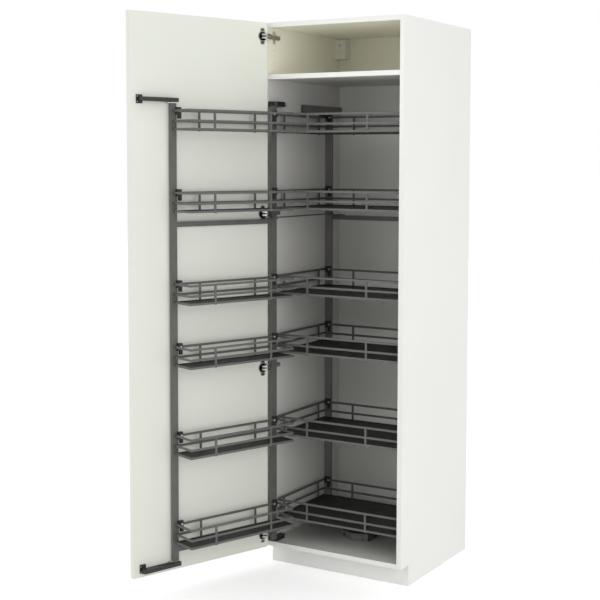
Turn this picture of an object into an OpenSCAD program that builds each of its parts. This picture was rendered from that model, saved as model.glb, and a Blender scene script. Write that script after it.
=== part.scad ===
// Tall larder cabinet with a hinged door, a swinging door rack and an inner rack that
// slides forward as the door opens.  Drawn with the door open and the inner rack forward.
// Millimetres, Z up, door at the -Y side.  The origin is on the floor, in the middle of the
// underside of the rear plinth rail.

/* [Cabinet] */
// Width of the cabinet
cab_w = 600; // [560:5:700]
// Depth of the cabinet without the door
cab_d = 580; // [520:5:640]
// Height of the cabinet from the floor
cab_h = 2100; // [1890:5:2200]
// Thickness of the sides, top, bottom and fixed shelf
board = 18; // [16:0.5:19]
// Height of the plinth
plinth_h = 80; // [70:5:110]
// How far the plinth stands back from the front edges
plinth_recess = 63; // [40:1:80]
// Thickness of the front plinth board and the rear plinth rail
rail_t = 16; // [15:1:19]
// Thickness of the back panel
back_t = 8; // [3:0.5:10]
// Space behind the back panel
back_void = 22; // [12:1:24]
// Depth of the grooves that hold the back panel
groove_d = 6; // [4:1:8]
// Height of the top compartment inside
top_space = 177; // [150:1:200]

/* [Shelf pin holes] */
// Diameter of the shelf pin holes
pin_hole = 5; // [4:0.5:6]
// Depth of the shelf pin holes
pin_hole_depth = 12; // [8:1:14]
// Height of the lowest row of holes
hole_start = 150; // [140:10:250]
// Distance from one row to the next
hole_pitch = 50; // [32:1:64]
// Distance of the front column from the front edge
hole_front = 37; // [30:1:60]
// Distance between the columns
hole_columns = 218; // [180:2:222]

/* [Door] */
// Thickness of the door
door_t = 20; // [18:0.5:22]
// Gap between the closed door and the cabinet's front edges
door_gap = 2; // [1.5:0.5:4]
// How far the door stays inside the cabinet's outline at each side
door_margin = 1.5; // [1:0.5:3]
// Height of the door's lower edge
door_bottom = 82; // [60:1:90]
// Opening angle of the door
open_angle = 110; // [95:1:112]
// Door axis, in from the cabinet's left side
axis_in = 9; // [8:0.5:9]
// Door axis, in front of the cabinet's front edges
axis_out = 20; // [19:0.5:22]

/* [Hinges] */
// Lowest hinge, up from the door's lower edge
hinge_low = 50; // [40:1:80]
// Highest hinge, down from the door's upper edge
hinge_high = 52; // [40:1:80]
// Places of the four hinges, from the lowest at 0 to the highest at 1
hinge_shares = [0, 0.3417, 0.651, 1];
// Diameter of the hinge cup
cup_d = 35; // [26:1:35]
// Depth of the hinge cup
cup_depth = 12; // [10:0.5:13]
// Cup centre, in from the door's edge
cup_in = 22.5; // [20:0.5:24]
// Height of the cup's flange
flange_h = 62; // [50:1:66]
// Length of the hinge arm behind the front edges
hinge_arm_l = 66; // [60:1:80]

/* [Racks] */
// Top rail of the lowest basket, up from the cabinet's floor
basket_low = 161; // [150:1:175]
// Top rail of the highest basket, down from the fixed shelf
basket_high = 128; // [120:1:150]
// Places of the six baskets, from the lowest at 0 to the highest at 1
basket_shares = [0, 0.2187, 0.4347, 0.5867, 0.8053, 1];
// Height of a basket from its lowest to its top rail
basket_h = 74; // [60:1:90]
// Height of a rail
rail_h = 8; // [5:0.5:10]
// Thickness of a rail
rail_bar = 4; // [3:0.5:5]
// Height of the tray over its low rim
tray_h = 5; // [3.5:0.5:5.5]
// Thickness of the tray's floor
tray_t = 2.5; // [1.5:0.5:3]
// Distance of a basket's uprights from its middle
upright_off = 124; // [100:2:128]
// How far the uprights reach below the lowest rail
upright_foot = 2; // [0:0.5:3]
// Thickness of a rack post
post_t = 12; // [10:1:14]
// Wall of the posts and the crossbars
tube_wall = 1.5; // [1:0.25:2]
// Upper crossbars' upper edge, down from the fifth basket
crossbar_drop = 35; // [34:1:60]
// Height of a crossbar
crossbar_h = 18; // [14:1:20]

/* [Door rack] */
// Door rack pivot, in from the cabinet's left side
pivot_in = 40; // [38:0.5:44]
// Door rack pivot, behind the cabinet's front edges
pivot_back = 20; // [18:0.5:24]
// Length of the door rack over its posts
door_rack_l = 472; // [420:1:476]
// Width of a door rack post
door_post_w = 24; // [20:1:26]
// Length of a door basket
door_basket_l = 464; // [400:1:466]
// Depth of a door basket
door_basket_d = 104; // [80:1:106]
// Lower end of the far post, up from the cabinet's floor
door_post_lift = 22; // [22:1:28]
// Top of the far post, down from the fixed shelf
door_post_drop = 105; // [90:1:105]
// Lower crossbar's upper edge, up from the cabinet's floor
low_crossbar_lift = 72; // [60:1:80]
// Height of a door arm
arm_h = 14; // [10:0.5:14]
// Radius of the rack's pivot pins
pivot_r = 5; // [4:0.5:6]
// Radius of the pins that run in the door arms
arm_pin_r = 3.5; // [3:0.25:4]

/* [Inner rack] */
// Distance of the inner rack from the cabinet's sides, inside
inner_margin = 17; // [16:0.5:30]
// Front of the inner baskets behind the front edges, door open
inner_front = 38; // [36:1:44]
// How far the inner rack slides
inner_travel = 127; // [124:1:130]
// Space between the back panel and the inner rack's posts, door closed
rear_gap = 7.6; // [4:0.1:60]
// Width of an inner rack post
inner_post_w = 30; // [20:1:34]
// Lower ends of the inner rack's posts, up from the cabinet's floor
inner_post_lift = 30; // [28:1:40]
// Height of the top guide rail
guide_h = 31; // [24:1:36]
// Width of the top guide rail
guide_w = 12; // [11:0.5:13]
// Length of the top guide rail
guide_l = 306; // [290:1:340]
// Length of the floor runner
runner_l = 284; // [280:1:300]

/* [Clearances] */
// Running clearance of a pin in its bore
pin_play = 0.05; // [0.02:0.01:0.08]
// Clearance of a pin in a slot
slot_play = 0.6; // [0.5:0.1:1]
// Gap between faces that move past each other
face_gap = 0.5; // [0.3:0.1:0.8]

/* [Hidden] */
$fn = 48;
eps = 0.01;

white = [0.93, 0.93, 0.91];
beige = [0.80, 0.79, 0.72];
steel = [0.72, 0.72, 0.72];
graphite = [0.33, 0.33, 0.32];
tray_grey = [0.22, 0.22, 0.22];
black = [0.08, 0.08, 0.08];

// The cabinet's faces and inner faces
left = -cab_w / 2;
right = cab_w / 2;
back = rail_t / 2;
front = back - cab_d;
in_left = left + board;
in_right = right - board;
floor_top = plinth_h + board;
shelf_top = cab_h - board - top_space;
shelf_under = shelf_top - board;
back_face = back - back_void - back_t;
groove_play = 0.1;

// Door, closed
door_l = left + door_margin;
door_w = cab_w - 2 * door_margin;
door_face = front - door_gap;
door_top = cab_h - 2;
door_axis = [left + axis_in, front - axis_out];
hinge_span = door_top - hinge_high - door_bottom - hinge_low;
hinge_heights = [for (s = hinge_shares) door_bottom + hinge_low + s * hinge_span];

// Levels of the racks
basket_span = shelf_under - basket_high - floor_top - basket_low;
basket_tops = [for (s = basket_shares) floor_top + basket_low + s * basket_span];
crossbar_top = basket_tops[4] - basket_h - crossbar_drop;
lower_crossbar_top = floor_top + low_crossbar_lift;
door_post_bottom = floor_top + door_post_lift;
door_post_top = shelf_under - door_post_drop;
inner_post_bottom = floor_top + inner_post_lift;
clip_rise = 9;
inner_post_top = basket_tops[5] + clip_rise;

// Door rack, closed: a is measured along the door from the pivot, b into the cabinet
pivot = [left + pivot_in, front + pivot_back];
post_a0 = 9;
post_a1 = post_a0 + door_rack_l;
post_b0 = 8.6;
post_b1 = post_b0 + post_t;
door_basket_a0 = 8;
clip_gap = 3.4;
door_basket_b0 = post_b1 + clip_gap;
far_pin = pivot + [post_a1 - door_post_w / 2, post_b0 + post_t / 2];

// Inner rack, forward
inner_l = in_left + inner_margin;
inner_r = in_right - inner_margin;
inner_y0 = front + inner_front;
inner_basket_d = cab_d - back_void - back_t - rear_gap - inner_travel - post_t - clip_gap
    - inner_front;
inner_y1 = inner_y0 + inner_basket_d;
inner_post_y0 = inner_y1 + clip_gap;
inner_post_y1 = inner_post_y0 + post_t;

// ---- Linkage: places as functions of the closing angle p, from 0 (open) to open_angle ----
function turn(v, a) = [v[0] * cos(a) - v[1] * sin(a), v[0] * sin(a) + v[1] * cos(a)];
function angle_of(v) = atan2(v[1], v[0]);

// The far pin of the door rack as the door sees it, in the door's closed place
function pin_at_door(p) =
    door_axis + turn(pivot - door_axis, open_angle - p) + (far_pin - pivot);

// Door arm: a straight bar that swivels on its bracket at the door's free side
arm_axis_in = 37.5;
arm_axis_out = 14;
arm_axis = [door_l + door_w - arm_axis_in, door_face + arm_axis_out];
arm_rest_angle = angle_of(pin_at_door(0) - arm_axis);
arm_shut_angle = angle_of(pin_at_door(open_angle) - arm_axis);
arm_swing = (arm_rest_angle < 0 ? arm_rest_angle + 360 : arm_rest_angle)
    - (arm_shut_angle < 0 ? arm_shut_angle + 360 : arm_shut_angle);
// The pin's path in the arm, which turns back by its share of arm_swing
function pin_in_arm(p) =
    arm_axis + turn(pin_at_door(p) - arm_axis, arm_swing * p / open_angle);

// Pull rod: from a lever on the door rack to a slotted plate on the inner rack
lever_r = 77.5;
lever_rest = -open_angle / 2;
function lever_pin(p) = pivot + lever_r * [cos(lever_rest + p), sin(lever_rest + p)];
rod_end_gap = 18.9;
rod_shift = [-4, inner_post_y0 - rod_end_gap - lever_pin(0)[1]];
function rod_pin(p) = lever_pin(p) + rod_shift - [0, inner_travel * p / open_angle];

// Levels of the linkage
plug_t = 3;
top_arm_z = door_post_top + plug_t + 1;
bottom_arm_z = door_post_bottom - plug_t - 1 - arm_h;
lever_z = crossbar_top;
lever_t = 4;
rod_t = 5;
rod_z = lever_z + lever_t + face_gap;

path_steps = 11;
function slot_points(pts, r) =
    let (n = len(pts),
         dir = [for (i = [0:n - 1])
             let (d = pts[min(i + 1, n - 1)] - pts[max(i - 1, 0)]) d / norm(d)])
    concat([for (i = [0:n - 1]) pts[i] + r * [-dir[i][1], dir[i][0]]],
           [for (i = [n - 1:-1:0]) pts[i] - r * [-dir[i][1], dir[i][0]]]);
arm_path = [for (i = [0:path_steps]) pin_in_arm(open_angle * i / path_steps)];
rod_path = [for (i = [0:path_steps]) rod_pin(open_angle * i / path_steps)];

// A band of half-width r along a path, with round ends
module band(path, r) {
    polygon(slot_points(path, r));
    for (p = [path[0], path[len(path) - 1]]) translate(p) circle(r + 0.05);
}
// Turns what is drawn in its closed place to the open place, about a vertical axis
module opened(axis) {
    translate(axis) rotate([0, 0, -open_angle]) translate(-axis) children();
}
module at_door() { opened(door_axis) children(); }
module at_rack() { opened(pivot) children(); }
// A box from its lowest to its highest corner
module span(a, b) { translate(a) cube(b - a); }
// A flat plate with rounded corners, drawn from its lower left corner
module soft_rect(w, d, r) {
    translate([r, 0]) square([w - 2 * r, d]);
    translate([0, r]) square([w, d - 2 * r]);
    for (x = [r, w - r], y = [r, d - r]) translate([x, y]) circle(r, $fn = 24);
}
// Turns a profile drawn in Y and Z into a solid of width w along X
module along_x(x, w) { translate([x, 0, 0]) rotate([90, 0, 90]) linear_extrude(w) children(); }

// ---- Cabinet ----
module side_outline() {
    polygon([[front, plinth_h], [front, cab_h], [back, cab_h], [back, 0],
             [front + plinth_recess, 0], [front + plinth_recess, plinth_h]]);
}
module pin_holes(face, inward) {
    rows = floor((cab_h - board - 20 - hole_start) / hole_pitch);
    for (c = [0:2], i = [0:rows]) {
        z = hole_start + i * hole_pitch;
        clear_of_shelf = z < shelf_under - pin_hole || z > shelf_top + pin_hole;
        if (clear_of_shelf)
            translate([face, front + hole_front + c * hole_columns, z])
                rotate([0, inward * 90, 0])
                translate([0, 0, -pin_hole_depth])
                cylinder(h = pin_hole_depth + 1, d = pin_hole, $fn = 16);
    }
}
module back_groove(x0, x1, z0, z1) {
    span([x0, back_face - groove_play, z0], [x1, back_face + back_t + groove_play, z1]);
}
module side_panel_left() color(white) difference() {
    along_x(left, board) side_outline();
    back_groove(in_left - groove_d, in_left + 1, floor_top - groove_d, cab_h - board + groove_d);
    pin_holes(in_left, 1);
}
module side_panel_right() color(white) difference() {
    along_x(in_right, board) side_outline();
    back_groove(in_right - 1, in_right + groove_d, floor_top - groove_d,
        cab_h - board + groove_d);
    pin_holes(in_right, -1);
}
module top_panel() color(white) difference() {
    span([in_left, front, cab_h - board], [in_right, back, cab_h]);
    back_groove(in_left - 1, in_right + 1, cab_h - board - 1, cab_h - board + groove_d);
}
module bottom_panel() color(white) difference() {
    span([in_left, front, plinth_h], [in_right, back, floor_top]);
    back_groove(in_left - 1, in_right + 1, floor_top - groove_d, floor_top + 1);
}
module fixed_shelf() color(white)
    span([in_left, front, shelf_under], [in_right, back_face, shelf_top]);
module back_panel() color(beige)
    span([in_left - groove_d + groove_play, back_face, floor_top - groove_d + groove_play],
        [in_right + groove_d - groove_play, back_face + back_t,
         cab_h - board + groove_d - groove_play]);
module plinth_front() color(white)
    span([in_left, front + plinth_recess, 0], [in_right, front + plinth_recess + rail_t, plinth_h]);
module rear_plinth_rail() color(white)
    span([in_left, back - rail_t, 0], [in_right, back, plinth_h]);

// Covers of the two wall hangers, in the top compartment's rear corners
hanger_w = 50;
hanger_d = 44;
hanger_h = 80;
module hanger(x) {
    z = cab_h - board - hanger_h - 2;
    difference() {
        translate([x, back_face - hanger_d, z]) cube([hanger_w, hanger_d, hanger_h]);
        // screwdriver holes for height and depth
        for (dz = [24, 56]) translate([x + hanger_w / 2, back_face - hanger_d - 1, z + dz])
            rotate([-90, 0, 0]) cylinder(h = 12, d = 7, $fn = 24);
    }
}
module wall_hangers() color(white) {
    hanger(in_left);
    hanger(in_right - hanger_w);
}

// ---- Hinges ----
plate_h = 6;
arm_top = in_left + 14.5;
module hinge_plates() color(steel) for (z = hinge_heights)
    translate([in_left, front + 28, z]) rotate([90, 0, 90]) difference() {
        linear_extrude(plate_h) {
            translate([0, -8]) square([40, 16]);
            translate([4, -24]) soft_rect(12, 48, 5);
        }
        for (y = [-18, 18]) translate([10, y, plate_h - 2])
            cylinder(h = 3, d1 = 4, d2 = 10, $fn = 24);
    }
module hinge_arms() color(steel) for (z = hinge_heights) difference() {
    // the arm lies on the plate, and its nose reaches out past the front edge
    translate([0, 0, z - 7]) linear_extrude(14) polygon([
        [in_left + plate_h, front + hinge_arm_l], [arm_top, front + hinge_arm_l],
        [arm_top, front + 12],
        [in_left + 17, front + 3], [in_left + 17, front - 4], [in_left + 13, front - 7],
        [in_left + 9, front - 4], [in_left + plate_h, front + 4]]);
    // open channel under the nose, and the fixing and adjusting screws' recesses
    translate([in_left + 8, front - 9, z - 4]) cube([14, 16, 8]);
    for (y = [26, 48]) translate([arm_top - 3, front + y, z]) rotate([0, 90, 0])
        cylinder(h = 4, d = 6, $fn = 24);
}
// countersunk screws through the plates, and the arms' two adjusting screws
module cross_screw(d, h) difference() {
    cylinder(h = h, d = d, $fn = 24);
    for (a = [0, 90]) translate([0, 0, h]) rotate([0, 0, a])
        cube([0.6 * d, 0.16 * d, h], center = true);
}
module hinge_screws() color(steel) for (z = hinge_heights) {
    for (dz = [-18, 18]) translate([in_left + plate_h - 2, front + 38, z + dz])
        rotate([0, 90, 0]) difference() {
            cylinder(h = 2, d1 = 3.9, d2 = 7.9, $fn = 24);
            translate([0, 0, 2]) cube([4.4, 1.2, 2], center = true);
            translate([0, 0, 2]) cube([1.2, 4.4, 2], center = true);
        }
    for (y = [26, 48]) translate([arm_top - 3, front + y, z]) rotate([0, 90, 0])
        cross_screw(5.9, 2.4);
}
// the cup sits in the door, with its flange on the door's inner face
cup_x = door_l + cup_in;
flange_t = 1.2;
cup_wall = 1.2;
module cup_bore(z, d, depth) {
    translate([cup_x, door_face + flange_t + 1, z]) rotate([90, 0, 0])
        cylinder(h = depth + flange_t + 1, d = d);
}
module hinge_cups() color(steel) at_door() for (z = hinge_heights) difference() {
    union() {
        cup_bore(z, cup_d - 0.2, cup_depth);
        translate([cup_x - 9.5, door_face + flange_t, z - flange_h / 2]) rotate([90, 0, 0])
            linear_extrude(flange_t) soft_rect(19, flange_h, 6);
        translate([cup_x, door_face + flange_t, z]) rotate([90, 0, 0])
            cylinder(h = flange_t, d = cup_d + 4);
    }
    cup_bore(z, cup_d - 0.2 - 2 * cup_wall, cup_depth - cup_wall);
    translate([cup_x - 40, door_face + flange_t, z - 40]) cube([80, 10, 80]);
    for (dz = [-24, 24]) translate([cup_x, door_face + 3, z + dz]) rotate([90, 0, 0])
        cylinder(h = 4, d = 4.5, $fn = 24);
}

module cup_screws() color(steel) at_door() for (z = hinge_heights, dz = [-24, 24])
    translate([cup_x, door_face + flange_t, z + dz]) rotate([-90, 0, 0]) cross_screw(7.6, 1.8);

// ---- Door ----
module door_panel() color(white) at_door() difference() {
    translate([door_l, door_face - door_t, door_bottom])
        cube([door_w, door_t, door_top - door_bottom]);
    for (z = hinge_heights) cup_bore(z, cup_d, cup_depth + 0.5);
}
bracket_w = 24;
bracket_plate = 4;
bracket_plate_h = 31;
ear_t = 3;
ear_r = 6;
screw_out = 9;
// lower edges of the brackets' plates; the lower one stays above the cabinet's floor
plate_levels = [top_arm_z + (arm_h - bracket_plate_h) / 2, floor_top + face_gap];
module arm_bracket(z, plate_z) {
    difference() {
        union() {
            translate([arm_axis[0] - bracket_w / 2, door_face, plate_z])
                cube([bracket_w, bracket_plate, bracket_plate_h]);
            // two ears hold the swivel pin above and below the arm
            for (s = [z - ear_t - face_gap, z + arm_h + face_gap]) translate([0, 0, s])
                linear_extrude(ear_t) {
                    translate([arm_axis[0] - ear_r, door_face]) square([2 * ear_r, arm_axis_out]);
                    translate(arm_axis) circle(ear_r);
                }
        }
        for (dz = [-screw_out, screw_out])
            translate([arm_axis[0] + screw_out, door_face + 6, plate_z + bracket_plate_h / 2 + dz])
            rotate([90, 0, 0]) cylinder(h = 8, d = 4, $fn = 24);
    }
    translate([arm_axis[0], arm_axis[1], z - ear_t]) cylinder(h = arm_h + 2 * ear_t, r = 3);
}
module arm_brackets() color(black) at_door() {
    arm_bracket(top_arm_z, plate_levels[0]);
    arm_bracket(bottom_arm_z, plate_levels[1]);
}

module bracket_screws() color(steel) at_door()
    for (plate_z = plate_levels, dz = [-screw_out, screw_out])
        translate([arm_axis[0] + screw_out, door_face + bracket_plate - 2.5,
                   plate_z + bracket_plate_h / 2 + dz])
        rotate([-90, 0, 0]) {
            cylinder(h = 3, d = 3.8, $fn = 24);
            translate([0, 0, 2.5]) cross_screw(4.6, 1.6);
        }

// ---- Door arms: swivelling bars with a slot that the rack's far pins run in ----
arm_wall = 2.5;
arm_tail = 7;
arm_overrun = 16;
slot_r = arm_pin_r + slot_play;
// the bar is as wide as the slot's curve needs
arm_offsets = [for (p = arm_path) turn(p - arm_axis, -arm_rest_angle)[1]];
arm_side0 = min(arm_offsets) - slot_r - arm_wall;
arm_side1 = max(arm_offsets) + slot_r + arm_wall;
arm_l = arm_tail + norm(arm_path[0] - arm_axis) + arm_overrun;
module arm_outline() difference() {
    translate(arm_axis) rotate(arm_rest_angle) translate([-arm_tail, arm_side0])
        soft_rect(arm_l, arm_side1 - arm_side0, 3);
    band(arm_path, slot_r);
    translate(arm_axis) circle(3 + pin_play);
}
module door_arm_top() color(graphite) at_door()
    translate([0, 0, top_arm_z]) linear_extrude(arm_h) arm_outline();
module door_arm_bottom() color(graphite) at_door()
    translate([0, 0, bottom_arm_z]) linear_extrude(arm_h) arm_outline();

// ---- Frames ----
module post(w, t, h) difference() {
    cube([w, t, h]);
    translate([tube_wall, tube_wall, -1]) cube([w - 2 * tube_wall, t - 2 * tube_wall, h + 2]);
}
near_top = door_post_top - 2;
crank_t = 5;
bottom_bracket_h = 10;
near_bottom = floor_top + bottom_bracket_h + face_gap + crank_t;
module door_post_near() color(graphite) at_rack()
    translate([pivot[0] + post_a0, pivot[1] + post_b0, near_bottom])
        post(door_post_w, post_t, near_top - near_bottom);
module door_post_far() color(graphite) at_rack()
    translate([pivot[0] + post_a1 - door_post_w, pivot[1] + post_b0, door_post_bottom])
        post(door_post_w, post_t, door_post_top - door_post_bottom);
module crossbar(x0, x1, y0, z_top) difference() {
    span([x0, y0, z_top - crossbar_h], [x1, y0 + post_t, z_top]);
    span([x0 - 1, y0 + tube_wall, z_top - crossbar_h + tube_wall],
        [x1 + 1, y0 + post_t - tube_wall, z_top - tube_wall]);
}
near_inside = post_a0 + door_post_w;
module door_crossbar(z_top) at_rack() crossbar(pivot[0] + near_inside,
    pivot[0] + post_a1 - door_post_w, pivot[1] + post_b0, z_top);
module door_crossbar_upper() color(graphite) door_crossbar(crossbar_top);
module door_crossbar_lower() color(graphite) door_crossbar(lower_crossbar_top);

// Cranks join the near post to the pivot pins
bracket_h = 18;
module crank_outline() {
    translate(pivot) circle(9);
    polygon([pivot + [-4, 8], pivot + [post_a0 + 4, post_b1], pivot + [near_inside, post_b1],
             pivot + [near_inside, post_b0], pivot + [6, -6.6]]);
}
module rack_crank_top() color(graphite) at_rack() {
    translate([0, 0, near_top]) linear_extrude(crank_t) crank_outline();
    translate([pivot[0], pivot[1], near_top + crank_t - 1])
        cylinder(h = bracket_h - 2, r = pivot_r);
}
module rack_crank_bottom() color(graphite) at_rack() {
    translate([0, 0, near_bottom - crank_t]) linear_extrude(crank_t) crank_outline();
    translate([pivot[0], pivot[1], floor_top + 1])
        cylinder(h = near_bottom - crank_t - floor_top, r = pivot_r);
}
top_bracket_z = near_top + crank_t + face_gap;
// The brackets are screwed to the left side, with an adjusting knob at the rear end
bracket_d = 84;
bracket_y0 = front + 2;
knob_x = pivot[0] - 4;
module bracket_outline() {
    translate([in_left, bracket_y0]) square([pivot_in - board, bracket_d]);
    translate(pivot) circle(13);
    translate([pivot[0] - 1, pivot[1]]) square([14, 44]);
    translate([pivot[0] + 1, pivot[1] + 44]) circle(12);
}
module pivot_bracket(z, h) difference() {
    translate([0, 0, z]) linear_extrude(h) bracket_outline();
    translate([pivot[0], pivot[1], z - 1]) cylinder(h = h + 2, r = pivot_r + pin_play);
    // seat of the knob's shank
    translate([knob_x, bracket_y0 + bracket_d - 8, z + h / 2]) rotate([-90, 0, 0])
        cylinder(h = 10, d = 6, $fn = 24);
}
module pivot_bracket_top() color(black) pivot_bracket(top_bracket_z, bracket_h);
module pivot_bracket_bottom() color(black) pivot_bracket(floor_top, bottom_bracket_h);
module knob(z, d) translate([knob_x, bracket_y0 + bracket_d, z]) rotate([-90, 0, 0])
    difference() {
        union() {
            cylinder(h = 11, d = d, $fn = 36);
            translate([0, 0, -7]) cylinder(h = 8, d = 5.8, $fn = 24);
        }
        translate([0, 0, 5]) cylinder(h = 7, d = 6, $fn = 6);
    }
module bracket_knobs() color(steel) {
    knob(top_bracket_z + bracket_h / 2, 15);
    knob(floor_top + bottom_bracket_h / 2, 9.5);
}

// Pins on the far post: a foot on each end of the tube with a pin that runs in the arm
foot_out = 12;
module arm_foot(z) translate([far_pin[0] - door_post_w / 2, far_pin[1] - post_t / 2, z])
    cube([door_post_w + foot_out, post_t, plug_t]);
module arm_pins() color(steel) at_rack() {
    arm_foot(door_post_top);
    arm_foot(door_post_bottom - plug_t);
    for (z = [door_post_top, bottom_arm_z]) translate([far_pin[0], far_pin[1], z])
        cylinder(h = plug_t + 1 + arm_h - eps, r = arm_pin_r);
}
// Lever on the upper crossbar that drives the pull rod; drawn in its open place
module pull_lever() color(graphite) {
    tip = lever_pin(0);
    difference() {
        union() {
            at_rack() translate([pivot[0] + near_inside, pivot[1] + post_b0, lever_z])
                cube([30, post_t, lever_t]);
            translate([0, 0, lever_z]) linear_extrude(lever_t) {
                at_rack() polygon([pivot + [near_inside, post_b1],
                    pivot + [near_inside + 24, post_b1],
                    turn(tip - pivot, open_angle) + pivot + [7, 0],
                    turn(tip - pivot, open_angle) + pivot + [-7, 0]]);
                translate(tip) circle(7);
            }
        }
        translate([tip[0], tip[1], lever_z - 1]) cylinder(h = lever_t + 2, r = 3 + pin_play);
    }
}
module pull_rod() color(steel) {
    a = lever_pin(0);
    b = rod_pin(0);
    u = (b - a) / norm(b - a);
    n = 4 * [-u[1], u[0]];
    translate([0, 0, rod_z]) linear_extrude(rod_t) {
        polygon([a + n, a - n, b - n, b + n]);
        for (p = [a, b]) translate(p) circle(5);
    }
    translate([a[0], a[1], lever_z]) cylinder(h = rod_t + lever_t + face_gap - eps, r = 3);
    translate([b[0], b[1], lever_z]) cylinder(h = rod_t + lever_t + face_gap - eps, r = 3);
}

// ---- Baskets ----
module ring(w, d, z, h, t) translate([0, 0, z]) linear_extrude(h) difference() {
    soft_rect(w, d, 5);
    translate([t, t]) soft_rect(w - 2 * t, d - 2 * t, 2);
}
ledge = 6;
ledge_t = 2;
mid_rail = 29;
// Three rails, a ledge for the tray, and uprights: across lists their places along the
// front and back, side_ups those along the ends
module basket(w, d, across, side_ups) {
    for (z = [0, mid_rail, basket_h - rail_h]) ring(w, d, z, rail_h, rail_bar);
    ring(w, d, 0, ledge_t, rail_bar + ledge);
    for (x = across, y = [0, d - rail_bar])
        translate([x - rail_h / 2, y, -upright_foot])
            cube([rail_h, rail_bar, basket_h + upright_foot]);
    for (y = side_ups, x = [0, w - rail_bar])
        translate([x, y - rail_h / 2, -upright_foot])
            cube([rail_bar, rail_h, basket_h + upright_foot]);
}
tray_play = 0.5;
module tray(w, d) {
    in = rail_bar + tray_play;
    translate([in, in, ledge_t]) difference() {
        linear_extrude(tray_h) soft_rect(w - 2 * in, d - 2 * in, 4);
        translate([0, 0, tray_t]) linear_extrude(tray_h)
            translate([tray_t, tray_t])
            soft_rect(w - 2 * in - 2 * tray_t, d - 2 * in - 2 * tray_t, 2);
    }
}
module door_level(i) at_rack()
    translate([pivot[0] + door_basket_a0, pivot[1] + door_basket_b0, basket_tops[i] - basket_h])
        children();
module door_basket(i) color(graphite) door_level(i)
    basket(door_basket_l, door_basket_d,
        [door_basket_l / 2 - upright_off, door_basket_l / 2 + upright_off], []);
module door_trays() color(tray_grey) for (i = [0:5]) door_level(i)
    tray(door_basket_l, door_basket_d);
inner_w = inner_r - inner_l;
module inner_level(i) translate([inner_l, inner_y0, basket_tops[i] - basket_h]) children();
module inner_basket(i) color(graphite) inner_level(i)
    basket(inner_w, inner_basket_d,
        [inner_w / 2 - upright_off - 4, inner_w / 2 + upright_off + 4],
        [50, inner_basket_d - 50]);
module inner_trays() color(tray_grey) for (i = [0:5]) inner_level(i)
    tray(inner_w, inner_basket_d);

// Clips: blocks on the posts with a channel that a basket's top rail rests in, and a tail on
// the side of the rack's middle.  Drawn from the post's face, with the tail at the +X side.
clip_front = clip_gap + rail_bar + 3;
clip_drop = 17;
clip_tail = basket_h - mid_rail - rail_h - clip_drop - 5;
clip_tail_w = 11;
clip_inset = rail_bar + 1.5;
module clip(w, s, tail) {
    rotate([90, 0, 90]) linear_extrude(w) scale([s, 1]) polygon([
        [0, -clip_drop], [clip_front, -clip_drop], [clip_front, clip_rise],
        [clip_gap + rail_bar + 0.4, clip_rise], [clip_gap + rail_bar + 0.4, -rail_h],
        [clip_gap - 0.3, -rail_h], [clip_gap - 0.3, clip_rise], [0, clip_rise]]);
    translate([tail > 0 ? w - clip_tail_w : 0, s > 0 ? 0 : -clip_front, -clip_drop - clip_tail])
        cube([clip_tail_w, clip_front, clip_tail + eps]);
}
door_clip_w = near_inside - door_basket_a0 - clip_inset;
inner_clip_w = inner_post_w - clip_inset;
far_clip_out = 14;
module door_clips() color(black) at_rack() for (z = basket_tops) {
    translate([pivot[0] + near_inside - door_clip_w, pivot[1] + post_b1, z])
        clip(door_clip_w, 1, 1);
    translate([pivot[0] + post_a1 - door_post_w - far_clip_out, pivot[1] + post_b1, z])
        clip(door_clip_w, 1, -1);
}
module inner_clips() color(black) for (z = basket_tops) {
    translate([inner_l + clip_inset, inner_post_y0, z]) clip(inner_clip_w, -1, 1);
    translate([inner_r - inner_post_w, inner_post_y0, z]) clip(inner_clip_w, -1, -1);
}

// ---- Inner rack frame ----
module inner_post(x) color(graphite) translate([x, inner_post_y0, inner_post_bottom])
    post(inner_post_w, post_t, inner_post_top - inner_post_bottom);
module inner_post_left() inner_post(inner_l);
module inner_post_right() inner_post(inner_r - inner_post_w);
module inner_crossbar_upper() color(graphite)
    crossbar(inner_l + inner_post_w, inner_r - inner_post_w, inner_post_y0, crossbar_top);
module inner_base_beam() color(graphite)
    crossbar(inner_l + inner_post_w, inner_r - inner_post_w, inner_post_y0,
        inner_post_bottom + crossbar_h);
// Slotted plate on the upper crossbar, for the pull rod's rear pin
plate_margin = 5;
module rod_plate() color(graphite) translate([0, 0, lever_z]) linear_extrude(lever_t)
    difference() {
        xs = [for (p = rod_path) p[0]];
        ys = [for (p = rod_path) p[1]];
        r = 3 + slot_play;
        x0 = min(xs) - r - plate_margin;
        x1 = max(xs) + r + plate_margin;
        y0 = min(ys) - r - plate_margin;
        translate([x0, y0]) square([x1 - x0, inner_post_y1 - y0]);
        rod_slot(xs, ys, r);
    }
// A plain rectangle with round corners that holds the pin's whole path
module rod_slot(xs, ys, r)
    translate([min(xs) - r, min(ys) - r])
        soft_rect(max(xs) - min(xs) + 2 * r, max(ys) - min(ys) + 2 * r, r);

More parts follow.
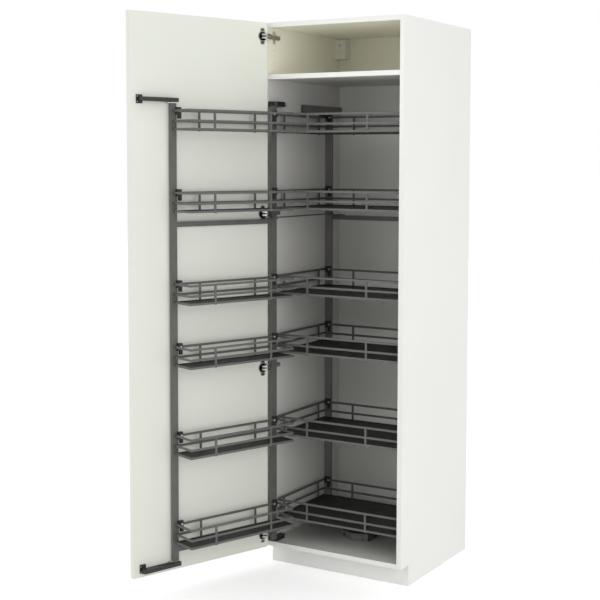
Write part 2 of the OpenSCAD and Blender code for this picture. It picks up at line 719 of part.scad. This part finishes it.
// Top guide: a plain channel on the left side, open below, and a glide that rises into it from
// the left post's side face
rail_end_gap = 4;
guide_wall = 2;
guide_z0 = inner_post_top + 2;
guide_y1 = back_face - rail_end_gap;
module guide_rail_top() color(graphite) difference() {
    span([in_left, guide_y1 - guide_l, guide_z0], [in_left + guide_w, guide_y1, guide_z0 + guide_h]);
    span([in_left + guide_wall, guide_y1 - guide_l - 1, guide_z0 - 1],
        [in_left + guide_w - guide_wall, guide_y1 + 1, guide_z0 + guide_h - guide_wall]);
}
glide_l = 42;
glide_arm_h = 14;
module top_glide() color(black) {
    x0 = in_left + guide_wall + face_gap;
    x1 = in_left + guide_w - guide_wall - face_gap;
    arm_z1 = guide_z0 - face_gap - 1;
    // head in the channel, and an arm under it that is fixed to the post
    span([x0, inner_post_y1 - glide_l, arm_z1 - glide_arm_h / 2],
        [x1, inner_post_y1, guide_z0 + guide_h - guide_wall - face_gap]);
    span([x0, inner_post_y0, arm_z1 - glide_arm_h], [inner_l, inner_post_y1, arm_z1]);
}

// Floor runner: a rail on the cabinet's floor, a carriage under the rack, a damper in front
runner_x = (left + right) / 2;
runner_w = 62;
runner_y1 = back_face - rail_end_gap;
runner_y0 = runner_y1 - runner_l;
runner_h = 18;
module floor_runner() color(steel) translate([runner_x, runner_y0, floor_top])
    rotate([90, 0, 0]) translate([0, 0, -(runner_y1 - runner_y0)])
    linear_extrude(runner_y1 - runner_y0) {
        translate([-runner_w / 2, 0]) square([runner_w, 3]);
        translate([-9, 0]) square([18, runner_h]);
        translate([-14, runner_h - 6]) square([28, 6]);
    }
// moulded housing: its front bends in the middle, and a round opening lies in the left half
housing_h = 29;
housing_w = 124;
housing_left = [runner_x - housing_w / 2, runner_y0 - 68];
housing_nose = [runner_x - 2, runner_y0 - 94];
housing_right = [runner_x + housing_w / 2, runner_y0 - 78];
housing_hole = (housing_left + housing_nose) / 2 - [14, -6];
module damper_housing() color([0.45, 0.45, 0.44]) difference() {
    translate([0, 0, floor_top]) linear_extrude(housing_h) polygon([
        [housing_left[0], runner_y0], housing_left, housing_nose, housing_right,
        [housing_right[0], runner_y0]]);
    translate([housing_hole[0], housing_hole[1], floor_top + housing_h / 2])
        rotate([0, 0, angle_of(housing_nose - housing_left)]) rotate([90, 0, 0])
        cylinder(h = 24, d = 13, center = true);
    // shallow recess in the top
    translate([runner_x - 4, runner_y0 - 62, floor_top + housing_h - 4]) cube([50, 44, 5]);
}
carriage_y1 = inner_post_y1;
carriage_y0 = carriage_y1 - 150;
module runner_carriage() color(graphite) difference() {
    span([runner_x - 35, carriage_y0, floor_top + 3 + face_gap],
        [runner_x + 35, carriage_y1, inner_post_bottom]);
    span([runner_x - 9 - face_gap, carriage_y0 - 1, floor_top],
        [runner_x + 9 + face_gap, carriage_y1 + 1, floor_top + runner_h + face_gap]);
    span([runner_x - 14 - face_gap, carriage_y0 - 1, floor_top + runner_h - 6 - face_gap],
        [runner_x + 14 + face_gap, carriage_y1 + 1, floor_top + runner_h + face_gap]);
}

side_panel_left();
side_panel_right();
top_panel();
bottom_panel();
fixed_shelf();
back_panel();
plinth_front();
rear_plinth_rail();
wall_hangers();
hinge_plates();
hinge_arms();
hinge_screws();
pivot_bracket_top();
pivot_bracket_bottom();
bracket_knobs();
guide_rail_top();
floor_runner();
damper_housing();
door_panel();
hinge_cups();
cup_screws();
arm_brackets();
bracket_screws();
door_arm_top();
door_arm_bottom();
door_post_near();
door_post_far();
door_crossbar_upper();
door_crossbar_lower();
rack_crank_top();
rack_crank_bottom();
arm_pins();
pull_lever();
door_basket(0);  // door_basket_1
door_basket(1);  // door_basket_2
door_basket(2);  // door_basket_3
door_basket(3);  // door_basket_4
door_basket(4);  // door_basket_5
door_basket(5);  // door_basket_6
door_trays();
door_clips();
pull_rod();
inner_post_left();
inner_post_right();
inner_crossbar_upper();
inner_base_beam();
runner_carriage();
top_glide();
rod_plate();
inner_basket(0);  // inner_basket_1
inner_basket(1);  // inner_basket_2
inner_basket(2);  // inner_basket_3
inner_basket(3);  // inner_basket_4
inner_basket(4);  // inner_basket_5
inner_basket(5);  // inner_basket_6
inner_trays();
inner_clips();
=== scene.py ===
import math
import bpy
import bmesh
from mathutils import Matrix, Vector


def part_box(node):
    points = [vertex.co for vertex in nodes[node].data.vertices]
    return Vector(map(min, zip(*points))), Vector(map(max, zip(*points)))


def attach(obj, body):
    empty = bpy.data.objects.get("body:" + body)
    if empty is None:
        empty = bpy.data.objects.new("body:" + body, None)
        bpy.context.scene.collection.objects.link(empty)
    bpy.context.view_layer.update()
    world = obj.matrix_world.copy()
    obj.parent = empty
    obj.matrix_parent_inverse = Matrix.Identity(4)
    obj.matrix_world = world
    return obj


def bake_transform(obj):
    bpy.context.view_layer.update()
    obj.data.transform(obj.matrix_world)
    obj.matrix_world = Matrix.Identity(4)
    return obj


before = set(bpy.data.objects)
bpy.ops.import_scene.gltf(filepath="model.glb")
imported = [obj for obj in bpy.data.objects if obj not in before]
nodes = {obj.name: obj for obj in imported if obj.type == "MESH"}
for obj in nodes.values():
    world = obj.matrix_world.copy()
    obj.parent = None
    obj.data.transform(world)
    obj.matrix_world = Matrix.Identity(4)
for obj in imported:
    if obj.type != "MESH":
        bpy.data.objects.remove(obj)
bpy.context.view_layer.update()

# Metres throughout. The cabinet's front looks towards -y, and the door stands open at rest.
UP = Vector((0, 0, 1))


# ---------------------------------------------------------------- camera
# the photograph's frame, and where the view's middle line and its focal length fall in it
PHOTO_PX = 600
MIDDLE_PX = (340, 250)
FOCAL_PX = 1225.74
SENSOR_MM = 36
# the camera's place, and its turns in radians
EYE = Vector((2.29837, -4.50463, 1.57915))
YAW, PITCH, ROLL = 0.5217, 0.0726, 0.0039


def make_camera():
    side = Vector((math.cos(YAW), math.sin(YAW), 0))
    ahead = Vector((-math.sin(YAW), math.cos(YAW), 0))
    look = ahead * math.cos(PITCH) - UP * math.sin(PITCH)
    top = UP * math.cos(PITCH) + ahead * math.sin(PITCH)
    right = side * math.cos(ROLL) + top * math.sin(ROLL)
    above = -side * math.sin(ROLL) + top * math.cos(ROLL)
    lens = bpy.data.cameras.new("camera")
    lens.sensor_width = SENSOR_MM
    lens.lens = FOCAL_PX / PHOTO_PX * SENSOR_MM
    lens.shift_x = (PHOTO_PX / 2 - MIDDLE_PX[0]) / PHOTO_PX
    lens.shift_y = (MIDDLE_PX[1] - PHOTO_PX / 2) / PHOTO_PX
    camera = bpy.data.objects.new("camera", lens)
    bpy.context.scene.collection.objects.link(camera)
    turn = Matrix((right, above, -look)).transposed().to_4x4()
    camera.matrix_world = Matrix.Translation(EYE) @ turn
    bpy.context.scene.camera = camera


# ---------------------------------------------------------------- shader helpers
def shader(name):
    """A new material with its node tree and its surface shader."""
    material = bpy.data.materials.new(name)
    material.use_nodes = True
    tree = material.node_tree
    return material, tree, tree.nodes["Principled BSDF"]


def add(tree, kind, **values):
    """A new node, with values for its inputs or else its settings."""
    node = tree.nodes.new(kind)
    for key, value in values.items():
        if key in node.inputs:
            node.inputs[key].default_value = value
        else:
            setattr(node, key, value)
    return node


def coords(tree, scale=(1, 1, 1)):
    """The object's own coordinates, which a moving body takes with it."""
    source = add(tree, "ShaderNodeTexCoord")
    mapping = add(tree, "ShaderNodeMapping", Scale=scale)
    tree.links.new(source.outputs["Object"], mapping.inputs["Vector"])
    return mapping.outputs["Vector"]


def noise(tree, place, scale, detail=2.0, rough=0.5):
    cloud = add(tree, "ShaderNodeTexNoise", Scale=scale, Detail=detail, Roughness=rough)
    tree.links.new(place, cloud.inputs["Vector"])
    return cloud.outputs["Fac"]


def ramp(tree, factor, low, high):
    """From one colour to another, over the middle of a noise's range."""
    scale = add(tree, "ShaderNodeValToRGB")
    for stop, position, colour in zip(scale.color_ramp.elements, (0.3, 0.7), (low, high)):
        stop.position = position
        stop.color = (*colour, 1)
    tree.links.new(factor, scale.inputs["Fac"])
    return scale.outputs["Color"]


def span(tree, factor, low, high):
    scale = add(tree, "ShaderNodeMapRange")
    scale.inputs["To Min"].default_value = low
    scale.inputs["To Max"].default_value = high
    tree.links.new(factor, scale.inputs["Value"])
    return scale.outputs["Result"]


def bump(tree, surface, height, strength, distance, edge=0.0):
    """Fine relief, with edges that look rounded by the radius edge."""
    relief = add(tree, "ShaderNodeBump", Strength=strength, Distance=distance)
    tree.links.new(height, relief.inputs["Height"])
    if edge:
        rounding = add(tree, "ShaderNodeBevel", Radius=edge)
        rounding.samples = 4
        tree.links.new(rounding.outputs["Normal"], relief.inputs["Normal"])
    tree.links.new(relief.outputs["Normal"], surface.inputs["Normal"])


def within(tree, place, low, high):
    """1 inside a box of the object's coordinates, 0 outside it."""
    axes = add(tree, "ShaderNodeSeparateXYZ")
    tree.links.new(place, axes.inputs[0])
    inside = None
    for i, axis in enumerate("XYZ"):
        near = add(tree, "ShaderNodeMath", operation="COMPARE")
        tree.links.new(axes.outputs[axis], near.inputs[0])
        near.inputs[1].default_value = (low[i] + high[i]) / 2
        near.inputs[2].default_value = (high[i] - low[i]) / 2
        if inside is None:
            inside = near.outputs[0]
            continue
        both = add(tree, "ShaderNodeMath", operation="MULTIPLY")
        tree.links.new(inside, both.inputs[0])
        tree.links.new(near.outputs[0], both.inputs[1])
        inside = both.outputs[0]
    return inside


def mixed(tree, factor, first, second):
    """One colour where the factor is 0 and the other where it is 1."""
    blend = add(tree, "ShaderNodeMix", data_type="RGBA")
    tree.links.new(factor, blend.inputs[0])
    tree.links.new(first, blend.inputs[6])
    tree.links.new(second, blend.inputs[7])
    return blend.outputs[2]


# ---------------------------------------------------------------- materials
# the cabinet's inner faces, from the panels around them
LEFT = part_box("side_panel_left")[1].x
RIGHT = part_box("side_panel_right")[0].x
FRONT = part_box("side_panel_left")[0].y
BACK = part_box("back_panel")[0].y
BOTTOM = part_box("bottom_panel")[1].z
SHELF_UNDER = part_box("fixed_shelf")[0].z
SHELF_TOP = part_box("fixed_shelf")[1].z
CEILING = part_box("top_panel")[0].z

# The two spaces of the cabinet as boxes that reach a little past their faces, but not to the
# boards' front edges. Warm light is painted on the boards' faces in the top compartment, and shade
# on those in the lower interior.
PAST = 0.001
SHORT = 0.0005
COMPARTMENT = ((LEFT - PAST, FRONT + SHORT, SHELF_TOP - PAST),
               (RIGHT + PAST, BACK + PAST, CEILING + PAST))
INTERIOR = ((LEFT - PAST, FRONT + SHORT, BOTTOM - PAST),
            (RIGHT + PAST, BACK + PAST, SHELF_UNDER + PAST))

# the darkest and the lightest colour painted on the boards' faces in those spaces: painted warm
# light in the top compartment, painted shade (greyer) on the boards' faces in the lower interior,
# and only a touch of painted shade on the back panel there
COMPARTMENT_PAINTED_LIGHT_TONES = ((0.94, 0.928, 0.80), (0.955, 0.943, 0.83))
LOWER_SIDE_PAINTED_SHADE_TONES = ((0.70, 0.694, 0.660), (0.74, 0.734, 0.700))
LOWER_BACK_PAINTED_SHADE_TONES = ((0.84, 0.834, 0.795), (0.88, 0.874, 0.835))


def board(name, low, high, edge=0.0008, inside=LOWER_SIDE_PAINTED_SHADE_TONES):
    """White melamine board, with warm light painted on its faces in the top compartment and shade
    painted on its faces in the lower interior, which turns them greyer.
    """
    material, tree, surface = shader(name)
    place = coords(tree)
    cloud = noise(tree, place, 2.2, 3)
    look = ramp(tree, cloud, low, high)
    # paint warm light into the top compartment and shade into the lower interior, over the board's
    # own colour
    for space, tones in ((COMPARTMENT, COMPARTMENT_PAINTED_LIGHT_TONES), (INTERIOR, inside)):
        look = mixed(tree, within(tree, place, *space), look, ramp(tree, cloud, *tones))
    tree.links.new(look, surface.inputs["Base Color"])
    gloss = span(tree, noise(tree, place, 60, 3), 0.36, 0.46)
    tree.links.new(gloss, surface.inputs["Roughness"])
    bump(tree, surface, noise(tree, place, 700, 2), 0.06, 0.0004, edge)
    return material


def powder(name, low, high, rough=(0.40, 0.52)):
    """Powder-coated metal with a fine grain."""
    material, tree, surface = shader(name)
    place = coords(tree)
    tree.links.new(ramp(tree, noise(tree, place, 14, 3), low, high), surface.inputs["Base Color"])
    tree.links.new(span(tree, noise(tree, place, 240, 2), *rough), surface.inputs["Roughness"])
    bump(tree, surface, noise(tree, place, 1400, 2), 0.18, 0.0003, 0.0008)
    return material


def plastic(name, low, high):
    """Moulded plastic with a dull skin."""
    material, tree, surface = shader(name)
    place = coords(tree)
    tree.links.new(ramp(tree, noise(tree, place, 30, 2), low, high), surface.inputs["Base Color"])
    tree.links.new(span(tree, noise(tree, place, 150, 2), 0.42, 0.58), surface.inputs["Roughness"])
    bump(tree, surface, noise(tree, place, 900, 3), 0.15, 0.0003, 0.0006)
    return material


def tray_board(name):
    """Near-black lining with fine ribs across the tray."""
    material, tree, surface = shader(name)
    place = coords(tree)
    grain = noise(tree, coords(tree, (1, 9, 1)), 22, 4, 0.6)
    look = ramp(tree, grain, (0.012, 0.012, 0.012), (0.030, 0.030, 0.030))
    tree.links.new(look, surface.inputs["Base Color"])
    tree.links.new(span(tree, noise(tree, place, 120, 2), 0.45, 0.62), surface.inputs["Roughness"])
    ribs = add(tree, "ShaderNodeTexWave", Scale=52.0, Distortion=0.0, Detail=0.0,
               wave_type="BANDS", bands_direction="Y")
    tree.links.new(place, ribs.inputs["Vector"])
    bump(tree, surface, ribs.outputs["Fac"], 0.25, 0.0006)
    return material


def brushed(tree, surface, rough):
    """The finish of bare metal: fine streaks along z, and edges that look rounded."""
    surface.inputs["Metallic"].default_value = 1.0
    streak = noise(tree, coords(tree, (1, 1, 14)), 160, 2)
    tree.links.new(span(tree, streak, *rough), surface.inputs["Roughness"])
    bump(tree, surface, streak, 0.05, 0.0002, 0.0004)


def steel(name, low, high, rough=(0.22, 0.36)):
    material, tree, surface = shader(name)
    cloud = noise(tree, coords(tree), 25, 2)
    tree.links.new(ramp(tree, cloud, low, high), surface.inputs["Base Color"])
    brushed(tree, surface, rough)
    return material


# the open door's inner face: a point on it at the cups' middle, and the way it looks
DOOR_FACE = Vector((-0.27922, -0.61226, 0))
DOOR_OUT = Vector((0.93969, -0.34202, 0))


def cup_steel(name):
    """Nickel flange on the door's face, and the hollow behind it painted near-black as painted
    shade.
    """
    material, tree, surface = shader(name)
    place = coords(tree)
    depth = add(tree, "ShaderNodeVectorMath", operation="DOT_PRODUCT")
    tree.links.new(place, depth.inputs[0])
    depth.inputs[1].default_value = DOOR_OUT
    hollow = add(tree, "ShaderNodeMath", operation="LESS_THAN")
    tree.links.new(depth.outputs["Value"], hollow.inputs[0])
    hollow.inputs[1].default_value = DOOR_FACE.dot(DOOR_OUT) + 0.0004
    cloud = noise(tree, place, 60, 3)
    flange = ramp(tree, cloud, (0.30, 0.295, 0.28), (0.48, 0.47, 0.45))
    # painted shade: the cup's recessed hollow is coloured near-black
    hollow_painted_shade = ramp(tree, cloud, (0.012, 0.012, 0.011), (0.03, 0.03, 0.028))
    look = mixed(tree, hollow.outputs[0], flange, hollow_painted_shade)
    tree.links.new(look, surface.inputs["Base Color"])
    brushed(tree, surface, (0.22, 0.38))
    return material


# the boards
# each board gets painted warm light in the top compartment and painted shade in the lower
# interior; the back panel only a touch of painted shade there
white = board("white_board_look", (0.865, 0.868, 0.835), (0.89, 0.893, 0.865))
back_white = board("back_board_look", (0.85, 0.85, 0.82), (0.88, 0.88, 0.85), 0, LOWER_BACK_PAINTED_SHADE_TONES)
door_white = board("door_board_look", (0.835, 0.855, 0.765), (0.86, 0.88, 0.795))
tray = tray_board("tray_look")
# coated metal
graphite = powder("graphite_look", (0.100, 0.099, 0.095), (0.122, 0.121, 0.116), (0.34, 0.46))
# a lighter copy of the graphite for the inner rack's posts and top rail: painted light, which
# keeps them as bright inside the cabinet as the graphite outside it
inner_graphite_painted_light = powder("inner_graphite_painted_light_look", (0.165, 0.163, 0.156), (0.195, 0.193, 0.185),
                        (0.34, 0.46))
dark = powder("dark_arm_look", (0.014, 0.014, 0.014), (0.024, 0.024, 0.023))
# plastics
black = plastic("black_plastic_look", (0.010, 0.010, 0.010), (0.018, 0.018, 0.018))
grey = plastic("grey_plastic_look", (0.11, 0.11, 0.105), (0.14, 0.14, 0.133))
# white plastic for the wall hangers in the top compartment, tinted beige as painted warm light,
# like the boards' faces there
hanger_plastic_painted_warm_light = plastic("white_plastic_painted_warm_light_look", (0.86, 0.845, 0.75), (0.89, 0.875, 0.79))
# bare and plated metal
nickel = steel("nickel_look", (0.60, 0.58, 0.55), (0.74, 0.72, 0.69))
chrome = steel("chrome_look", (0.60, 0.60, 0.59), (0.74, 0.74, 0.73), (0.12, 0.24))
link_steel = steel("link_steel_look", (0.30, 0.295, 0.285), (0.42, 0.415, 0.40), (0.24, 0.36))
dark_screw = steel("dark_screw_look", (0.05, 0.05, 0.048), (0.09, 0.09, 0.085), (0.30, 0.44))
bronze = steel("arm_nickel_look", (0.42, 0.385, 0.325), (0.50, 0.46, 0.395), (0.30, 0.44))
zinc = steel("screw_head_look", (0.50, 0.50, 0.48), (0.62, 0.62, 0.60), (0.28, 0.42))
cup_look = cup_steel("cup_look")

# what isn't named here is graphite metal
LOOKS = {
    white: ["side_panel_left", "side_panel_right", "top_panel", "bottom_panel",
            "fixed_shelf", "plinth_front", "rear_plinth_rail"],
    door_white: ["door_panel"],
    back_white: ["back_panel"],
    # painted light: the inner posts and top rail get the lighter copy of the graphite
    inner_graphite_painted_light: ["guide_rail_top", "inner_post_left", "inner_post_right"],
    # painted warm light: the beige tint of the wall hangers
    hanger_plastic_painted_warm_light: ["wall_hangers"],
    nickel: ["hinge_screws", "hinge_plates", "bracket_knobs", "bracket_screws", "arm_pins",
             "floor_runner"],
    cup_look: ["hinge_cups"],
    dark_screw: ["cup_screws"],
    bronze: ["hinge_arms"],
    black: ["pivot_bracket_top", "pivot_bracket_bottom", "arm_brackets", "door_clips",
            "inner_clips", "top_glide"],
    dark: ["door_arm_top", "door_arm_bottom"],
    grey: ["damper_housing"],
    tray: ["door_trays", "inner_trays"],
}


def dress_nodes():
    given = {name: look for look, names in LOOKS.items() for name in names}
    for name, node in nodes.items():
        look = given.get(name, graphite)
        if not node.material_slots:
            node.data.materials.append(look)
        for slot in node.material_slots:
            slot.material = look


# ---------------------------------------------------------------- shapes of added pieces
def piece(name, bm, look, body=None):
    """An object from the mesh, on the body that it moves with."""
    mesh = bpy.data.meshes.new(name)
    bmesh.ops.recalc_face_normals(bm, faces=bm.faces)
    bm.to_mesh(mesh)
    bm.free()
    mesh.materials.append(look)
    obj = bpy.data.objects.new(name, mesh)
    bpy.context.scene.collection.objects.link(obj)
    if body:
        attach(obj, body)
    return obj


def smooth_path(points, steps=6):
    """Points on a smooth curve through the given ones."""
    knots = [Vector(point) for point in points]
    knots = [2 * knots[0] - knots[1]] + knots + [2 * knots[-1] - knots[-2]]
    path = []
    for i in range(1, len(knots) - 2):
        a, b, c, d = knots[i - 1:i + 3]
        for k in range(steps):
            t = k / steps
            path.append(0.5 * (2 * b + (c - a) * t + (2 * a - 5 * b + 4 * c - d) * t * t
                               + (3 * b - a - 3 * c + d) * t * t * t))
    path.append(knots[-2])
    return path


def join_rings(bm, first, second):
    """A band of faces between two rings of equally many corners."""
    count = len(first)
    for i in range(count):
        j = (i + 1) % count
        bm.faces.new((first[i], first[j], second[j], second[i]))


def loft(bm, rings):
    """Closed skin over rings of equally many points, with flat ends."""
    rows = [[bm.verts.new(point) for point in ring] for ring in rings]
    for first, second in zip(rows, rows[1:]):
        join_rings(bm, first, second)
    bm.faces.new(rows[0][::-1])
    bm.faces.new(rows[-1])


def around(axis, steps):
    """The axis at length 1, and as many directions square to it as there are steps."""
    axis = Vector(axis).normalized()
    side = axis.cross(UP)
    side = side.normalized() if side.length > 0.1 else Vector((1, 0, 0))
    over = axis.cross(side)
    angles = (2 * math.pi * k / steps for k in range(steps))
    return axis, [side * math.cos(angle) + over * math.sin(angle) for angle in angles]


def turned(bm, centre, axis, profile, steps=28):
    """A body of revolution: the profile is (radius, height) along the axis."""
    axis, outward = around(axis, steps)
    loft(bm, [[Vector(centre) + axis * height + out * radius for out in outward]
              for radius, height in profile])


def hoop(bm, centre, axis, profile, steps=36):
    """A ring: the profile is a closed loop of (radius, height) round the axis."""
    axis, outward = around(axis, steps)
    rows = [[bm.verts.new(Vector(centre) + axis * height + out * radius)
             for radius, height in profile] for out in outward]
    for first, second in zip(rows, rows[1:] + rows[:1]):
        join_rings(bm, first, second)


def screw_head(bm, centre, axis, radius):
    """A domed head with a recess in its middle."""
    outline = ((1, 0), (1, 0.0005), (0.90, 0.0011), (0.62, 0.0015), (0.50, 0.0016),
               (0.44, 0.0009), (0.08, 0.0009))
    turned(bm, centre, axis, [(share * radius, height) for share, height in outline])


# ---------------------------------------------------------------- added pieces
HINGE_LEVELS = (0.132, 0.7860, 1.3780, 2.0460)
DOOR_AXIS = Vector((-0.291, -0.592, 0))


def hinge_links():
    """Bent links of the concealed hinges, from the arm's nose into the cup."""
    line = smooth_path([(-0.2628, -0.5737, 0), (-0.2606, -0.5840, 0), (-0.2596, -0.5950, 0),
                        (-0.2618, -0.6060, 0), (-0.2690, -0.6145, 0), (-0.2770, -0.6172, 0),
                        (-0.2846, -0.6160, 0)])
    # Two straps, one above the hinge's middle and its mirror image below. Each is an angle in
    # section: (towards the door's axis, away from the middle).
    web, lip = 0.0016, 0.0062
    inner, outer, lip_under = 0.0024, 0.0090, 0.0073
    section = [(lip, outer), (0, outer), (0, inner), (web, inner), (web, lip_under),
               (lip, lip_under)]
    pin_profile = [(0.0016, -0.0097), (0.0021, -0.0092), (0.0021, 0.0092), (0.0016, 0.0097)]
    for i, z in enumerate(HINGE_LEVELS):
        bm = bmesh.new()
        for side in (1, -1):
            rings = []
            for k, point in enumerate(line):
                along = line[min(k + 1, len(line) - 1)] - line[max(k - 1, 0)]
                inward = Vector((along.y, -along.x, 0)).normalized()
                if inward.dot(DOOR_AXIS - point) < 0:
                    inward = -inward
                rings.append([point + inward * reach + UP * (z + side * height)
                              for reach, height in section])
            loft(bm, rings)
        obj = piece("hinge_link_%d" % (i + 1), bm, link_steel)
        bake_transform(obj)
        # the pin at the arm's nose that the links turn on
        bm = bmesh.new()
        turned(bm, (-0.2680, -0.5770, z), UP, pin_profile, 16)
        piece("hinge_nose_pin_%d" % (i + 1), bm, nickel, "cabinet")


# the open door rack: its turn from the closed pose and its pivot
RACK_TURN = Matrix.Rotation(math.radians(-110), 3, "Z")
RACK_PIVOT = Vector((-0.260, -0.552, 0))
RAIL_TOPS = [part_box("door_basket_%d" % i)[1].z for i in range(1, 7)]
CLIP_SCREW_DROP = 0.0050
CLIP_SCREW_RADIUS = 0.0042


def at_rack(along, out, z):
    """A place on the open door rack, from its pivot: along the rack and out from it."""
    return RACK_PIVOT + RACK_TURN @ Vector((along, out, 0)) + UP * z


def clip_screws():
    """Screw heads on the front faces of the basket clips, level with the top rails."""
    levels = [top - CLIP_SCREW_DROP for top in RAIL_TOPS]
    clip_face = 0.0310
    facing = RACK_TURN @ Vector((0, 1, 0))
    for side, along in (("near", 0.0275), ("far", 0.4485)):
        bm = bmesh.new()
        for z in levels:
            screw_head(bm, at_rack(along, clip_face, z), facing, CLIP_SCREW_RADIUS)
        piece("door_clip_screws_" + side, bm, zinc, "door_rack")
    clip_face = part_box("inner_clips")[0].y
    for side, x in (("left", -0.2405), ("right", 0.2405)):
        bm = bmesh.new()
        for z in levels:
            screw_head(bm, (x, clip_face, z), (0, -1, 0), CLIP_SCREW_RADIUS)
        piece("inner_clip_screws_" + side, bm, zinc, "inner_rack")


def damper_trim():
    """Rim of the damper housing's opening, and the raised panel beside it."""
    rim = [(0.0067, -0.0005), (0.0088, -0.0005), (0.0088, 0.0008), (0.0082, 0.0014),
           (0.0073, 0.0014), (0.0067, 0.0008)]
    bm = bmesh.new()
    hoop(bm, (-0.0460, -0.3850, 0.1125), (-0.3976, -0.9176, 0), rim)
    piece("damper_rim", bm, grey, "cabinet")
    # the panel on the housing's slanting face, from the face's near corner
    corner = Vector((-0.0020, -0.4040, 0))
    along = Vector((0.9701, 0.2425, 0))
    out = Vector((0.2425, -0.9701, 0))
    start, end = 0.006, 0.044
    low, high = 0.1010, 0.1225
    bm = bmesh.new()
    rings = []
    for inset, height in ((0, -0.0004), (0, 0.0022), (0.0009, 0.0030), (0.0030, 0.0030),
                          (0.0036, 0.0024)):
        corners = ((start + inset, low + inset), (end - inset, low + inset),
                   (end - inset, high - inset), (start + inset, high - inset))
        rings.append([corner + along * reach + out * height + UP * z for reach, z in corners])
    loft(bm, rings)
    piece("damper_panel", bm, grey, "cabinet")


def knob_rings():
    """Bright collars at the rear ends of the pivot brackets' knobs."""
    # (past the knob's radius, along the knob's axis)
    collar = ((-0.0002, 0.0068), (0.0006, 0.0068), (0.0009, 0.0074), (0.0009, 0.0096),
              (0.0006, 0.0102), (-0.0002, 0.0102))
    for name, z, radius in (("top", 1.7945, 0.0075), ("bottom", 0.1030, 0.00475)):
        bm = bmesh.new()
        hoop(bm, (-0.2640, -0.4860, z), (0, 1, 0),
             [(radius + past, height) for past, height in collar])
        piece("knob_ring_" + name, bm, chrome, "cabinet")


# ---------------------------------------------------------------- stage and light
def seen_directly(tree):
    """1 for camera, glossy and transmission rays, and 0 for the light that falls on things."""
    path = add(tree, "ShaderNodeLightPath")
    either = add(tree, "ShaderNodeMath", operation="MAXIMUM")
    both = add(tree, "ShaderNodeMath", operation="MAXIMUM")
    tree.links.new(path.outputs["Is Camera Ray"], either.inputs[0])
    tree.links.new(path.outputs["Is Glossy Ray"], either.inputs[1])
    tree.links.new(either.outputs[0], both.inputs[0])
    tree.links.new(path.outputs["Is Transmission Ray"], both.inputs[1])
    return both.outputs[0]


def make_floor():
    mesh = bpy.data.meshes.new("floor")
    bm = bmesh.new()
    bmesh.ops.create_grid(bm, x_segments=1, y_segments=1, size=14)
    bm.to_mesh(mesh)
    bm.free()
    floor = bpy.data.objects.new("floor", mesh)
    bpy.context.scene.collection.objects.link(floor)
    material, tree, surface = shader("floor_look")
    surface.inputs["Base Color"].default_value = (0.86, 0.86, 0.86, 1)
    surface.inputs["Roughness"].default_value = 1.0
    surface.inputs["Specular IOR Level"].default_value = 0.0
    # the floor shows white where it is lit, and the object's shadow stays on it
    glow = add(tree, "ShaderNodeEmission", Color=(1, 1, 1, 1))
    level = add(tree, "ShaderNodeMath", operation="MULTIPLY")
    tree.links.new(seen_directly(tree), level.inputs[0])
    level.inputs[1].default_value = 0.42
    tree.links.new(level.outputs[0], glow.inputs["Strength"])
    both = add(tree, "ShaderNodeAddShader")
    tree.links.new(surface.outputs["BSDF"], both.inputs[0])
    tree.links.new(glow.outputs[0], both.inputs[1])
    tree.links.new(both.outputs[0], tree.nodes["Material Output"].inputs["Surface"])
    mesh.materials.append(material)


def make_world():
    """Even light from all round, and plain white where the world itself is seen."""
    world = bpy.data.worlds.new("world")
    bpy.context.scene.world = world
    world.use_nodes = True
    tree = world.node_tree
    light = tree.nodes["Background"]
    light.inputs["Color"].default_value = (1, 1, 1, 1)
    light.inputs["Strength"].default_value = 0.75
    seen = add(tree, "ShaderNodeBackground", Color=(1, 1, 1, 1), Strength=1.0)
    choice = add(tree, "ShaderNodeMixShader")
    tree.links.new(seen_directly(tree), choice.inputs[0])
    tree.links.new(light.outputs[0], choice.inputs[1])
    tree.links.new(seen.outputs[0], choice.inputs[2])
    tree.links.new(choice.outputs[0], tree.nodes["World Output"].inputs["Surface"])


def area(name, place, target, width, watts, height=None, spread=math.pi):
    """A soft rectangular lamp, square unless it has a height of its own."""
    light = bpy.data.lights.new(name, "AREA")
    light.shape = "RECTANGLE"
    light.size = width
    light.size_y = height or width
    light.energy = watts
    light.spread = spread
    lamp = bpy.data.objects.new(name, light)
    bpy.context.scene.collection.objects.link(lamp)
    lamp.location = place
    lamp.rotation_mode = "QUATERNION"
    lamp.rotation_quaternion = (Vector(target) - Vector(place)).to_track_quat("-Z", "Y")


def make_lamps():
    area("front_softbox", (-1.7, -4.6, 1.7), (0, -0.4, 1.15), 2.4, 24)
    area("right_softbox", (4.0, -2.4, 1.2), (0, -0.4, 0.95), 3.8, 62)
    # a small lamp that looks up into the top compartment
    area("compartment_lamp", (0.25, -1.30, 1.62), (-0.02, -0.34, 2.07), 0.5, 0.12,
         height=0.2, spread=math.radians(70))


dress_nodes()
hinge_links()
clip_screws()
damper_trim()
knob_rings()

make_camera()
make_floor()
make_world()
make_lamps()
bpy.context.scene.view_settings.view_transform = "Standard"
